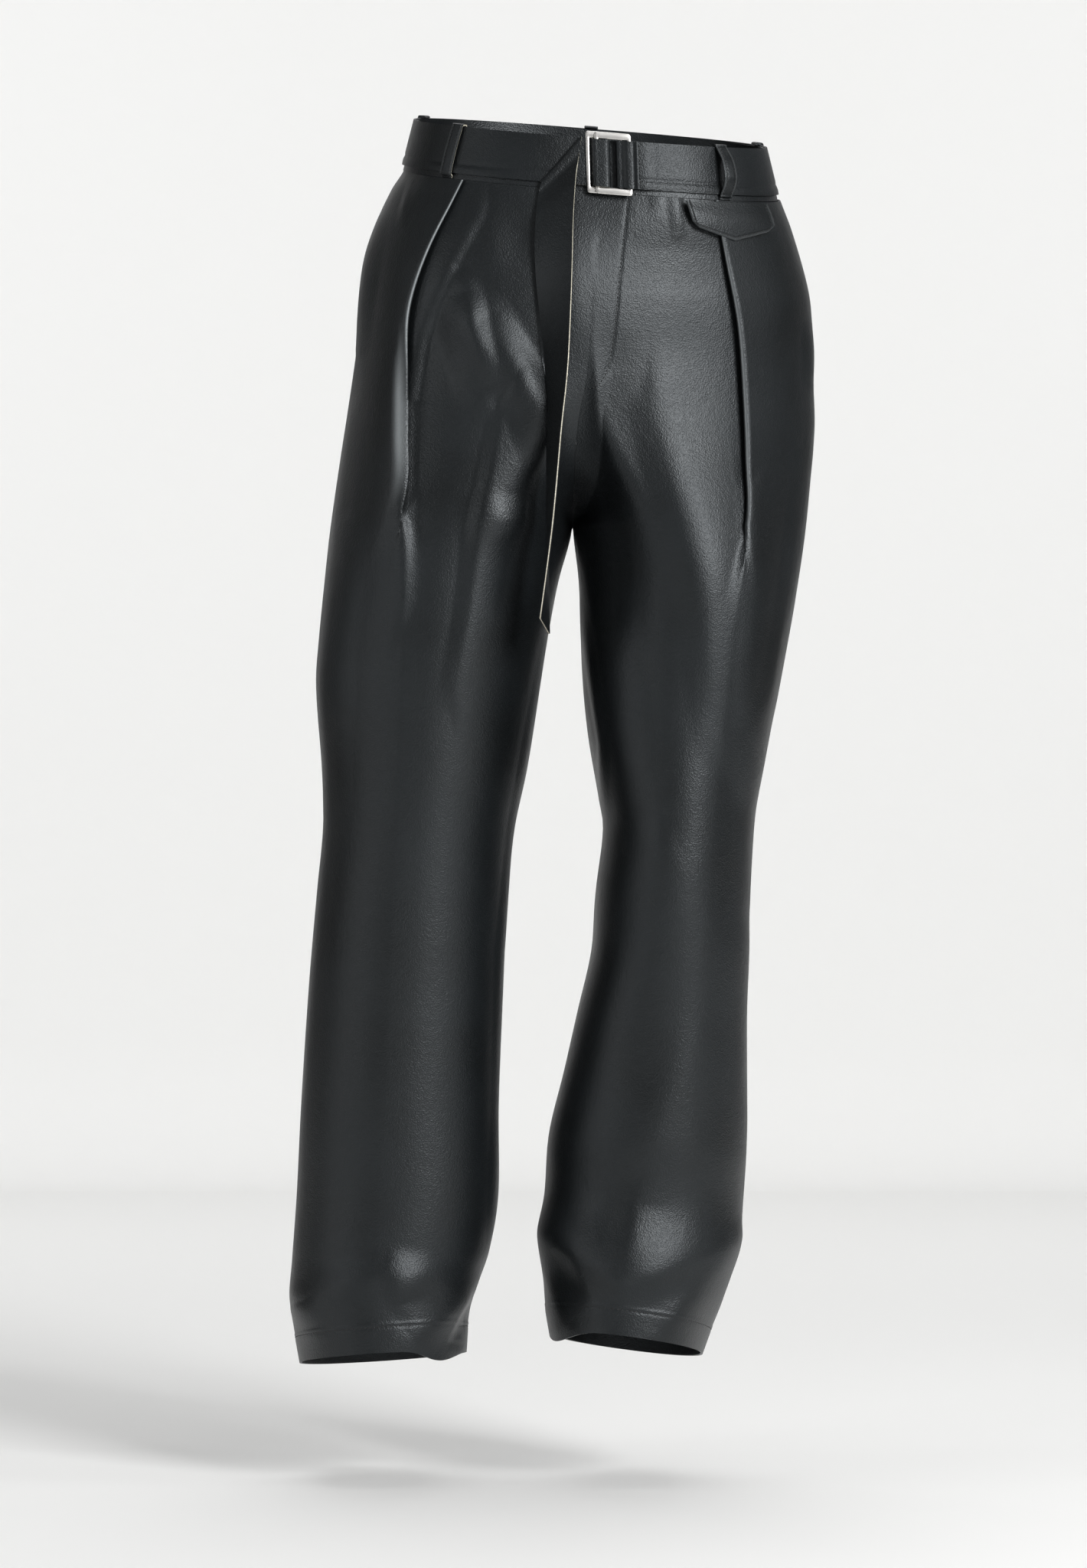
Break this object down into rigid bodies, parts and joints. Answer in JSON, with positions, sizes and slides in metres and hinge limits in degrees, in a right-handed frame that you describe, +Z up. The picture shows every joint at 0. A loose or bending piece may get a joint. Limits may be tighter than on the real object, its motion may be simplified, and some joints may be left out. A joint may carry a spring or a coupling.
{
  "type": "belted leather trousers",
  "caption": "Wide pleated faux leather trousers in the shape they have when worn, hollow, with a double ring belt and a hanging belt tail.",
  "frame": {"origin": "middle of the waist, at half the belt's height, where the wearer's waist holds the trousers", "axes": "+Z up along the legs towards the waist, -Y out of the front, +X towards the wearer's left"},
  "size_m": [0.4566, 0.3178, 1.0989],
  "materials": {
    "leather": "coated, fine grained, soft sheen",
    "ring_metal": "brushed satin"
  },
  "bodies": {
    "root": {"front_right": "leather", "front_left": "leather", "back_right": "leather", "back_left": "leather", "waistband": "leather", "belt_strap": "leather", "belt_keeper": "leather", "belt_tail": "leather", "belt_loop_front_right": "leather", "belt_loop_front_left": "leather", "belt_loop_back_left": "leather", "belt_loop_centre_back": "leather", "belt_loop_back_right": "leather", "pocket_flap": "leather", "ring_inner": "ring_metal", "ring_outer": "ring_metal"}
  },
  "joints": []
}
